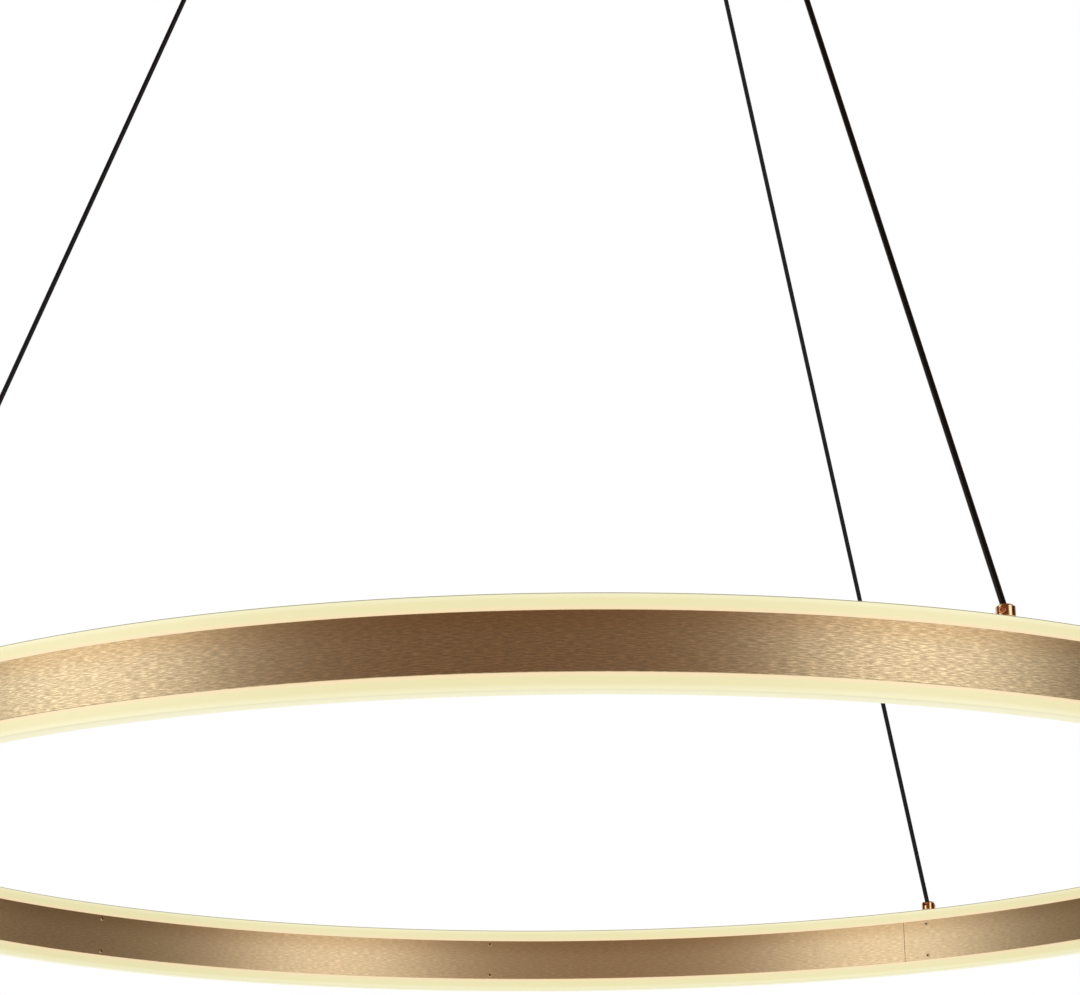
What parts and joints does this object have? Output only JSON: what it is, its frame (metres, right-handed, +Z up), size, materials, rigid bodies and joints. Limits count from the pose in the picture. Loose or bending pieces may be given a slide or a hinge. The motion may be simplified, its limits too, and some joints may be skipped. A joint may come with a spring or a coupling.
{
  "type": "led ring chandelier",
  "caption": "Slim glowing ring with brushed gold bands and opal diffusers, hung level on leaning black cables from a round ceiling canopy with height adjusters.",
  "frame": {"origin": "centre of the ceiling screw pattern, on the ceiling plane", "axes": "+Z up towards the ceiling, +X to the right and +Y away from the camera of the picture"},
  "size_m": [0.8, 0.8, 0.8516],
  "materials": {
    "gold_band": "brushed, gold anodised",
    "canopy_gold": "brushed, gold lacquer",
    "opal_diffuser": "opal, lit from inside",
    "bare_aluminium": "extruded",
    "led_chip": "phosphor",
    "circuit_strip": "white solder mask",
    "copper": "polished copper plate",
    "anchor_brass": "polished rose brass",
    "nylon": "moulded",
    "black_sheath": "smooth sheath",
    "spring_steel": "drawn wire",
    "nickel": "nickel plate",
    "driver_case": "moulded",
    "brown_lead": "insulation",
    "blue_lead": "insulation",
    "earth_lead": "green and yellow insulation",
    "red_lead": "insulation",
    "zinc_steel": "zinc plate"
  },
  "bodies": {
    "canopy": {"ceiling_plate": "zinc_steel", "canopy_shell": "canopy_gold", "canopy_side_screws": "canopy_gold", "led_driver": "driver_case", "driver_screws": "zinc_steel", "mains_terminal_block": "nylon", "terminal_screws": "zinc_steel", "block_screws": "zinc_steel", "live_lead": "brown_lead", "neutral_lead": "blue_lead", "earth_lead": "earth_lead", "earth_lug": "zinc_steel", "earth_screw": "zinc_steel", "cable_clips": "nylon", "gripper_nuts": "nickel", "gripper_body_1": "nickel", "gripper_body_2": "nickel", "gripper_body_3": "nickel", "gripper_spring_1": "spring_steel", "gripper_spring_2": "spring_steel", "gripper_spring_3": "spring_steel", "cable_1": "black_sheath", "cable_2": "black_sheath", "cable_3": "black_sheath", "cable_tail_1": "black_sheath", "cable_tail_2": "black_sheath", "cable_tail_3": "black_sheath"},
    "ring": {"ring_core": "bare_aluminium", "outer_band": "gold_band", "inner_band": "gold_band", "upper_diffuser": "opal_diffuser", "lower_diffuser": "opal_diffuser", "upper_led_strip": "circuit_strip", "lower_led_strip": "circuit_strip", "upper_led_chips": "led_chip", "lower_led_chips": "led_chip", "band_screws": "zinc_steel", "feed_leads": "red_lead", "ball_lock_screws": "copper", "anchor_block_1": "anchor_brass", "anchor_block_2": "anchor_brass", "anchor_block_3": "anchor_brass", "anchor_stud_1": "anchor_brass", "anchor_stud_2": "anchor_brass", "anchor_stud_3": "anchor_brass", "anchor_cap_1": "anchor_brass", "anchor_cap_2": "anchor_brass", "anchor_cap_3": "anchor_brass"},
    "cable_end_1": {"cable_ball_1": "copper"},
    "gripper_release_1": {"gripper_plunger_1": "nickel", "gripper_balls_1": "spring_steel"},
    "cable_end_2": {"cable_ball_2": "copper"},
    "gripper_release_2": {"gripper_plunger_2": "nickel", "gripper_balls_2": "spring_steel"},
    "cable_end_3": {"cable_ball_3": "copper"},
    "gripper_release_3": {"gripper_plunger_3": "nickel", "gripper_balls_3": "spring_steel"}
  },
  "joints": [
    {"name": "ring_height", "type": "slide", "parent": "canopy", "child": "ring", "axis": [0, 0, 1], "range_m": [0, 0.35], "deforming": ["cable_1", "cable_2", "cable_3"]},
    {"name": "cable_swivel_1", "type": "hinge", "parent": "ring", "child": "cable_end_1", "pos_m": [0.2223, 0.32711, -0.81142], "axis": [0.8271, -0.5621, 0], "range_deg": [0, 15.25]},
    {"name": "gripper_push_1", "type": "slide", "parent": "canopy", "child": "gripper_release_1", "axis": [0, 0, 1], "range_m": [0, 0.002], "stiffness_N_per_m": 400, "springref_m": -0.004, "deforming": ["gripper_spring_1"]},
    {"name": "cable_swivel_2", "type": "hinge", "parent": "ring", "child": "cable_end_2", "pos_m": [-0.39444, 0.02897, -0.81142], "axis": [0.0732, 0.9973, 0], "range_deg": [0, 15.25]},
    {"name": "gripper_push_2", "type": "slide", "parent": "canopy", "child": "gripper_release_2", "axis": [0, 0, 1], "range_m": [0, 0.002], "stiffness_N_per_m": 400, "springref_m": -0.004, "deforming": ["gripper_spring_2"]},
    {"name": "cable_swivel_3", "type": "hinge", "parent": "ring", "child": "cable_end_3", "pos_m": [0.17213, -0.35608, -0.81142], "axis": [-0.9003, -0.4352, 0], "range_deg": [0, 15.25]},
    {"name": "gripper_push_3", "type": "slide", "parent": "canopy", "child": "gripper_release_3", "axis": [0, 0, 1], "range_m": [0, 0.002], "stiffness_N_per_m": 400, "springref_m": -0.004, "deforming": ["gripper_spring_3"]}
  ],
  "couplings": [
    {"joint": "cable_swivel_1", "follows": "ring_height", "rad_per_m": 0.75962},
    {"joint": "cable_swivel_2", "follows": "ring_height", "rad_per_m": 0.75962},
    {"joint": "cable_swivel_3", "follows": "ring_height", "rad_per_m": 0.75962}
  ]
}
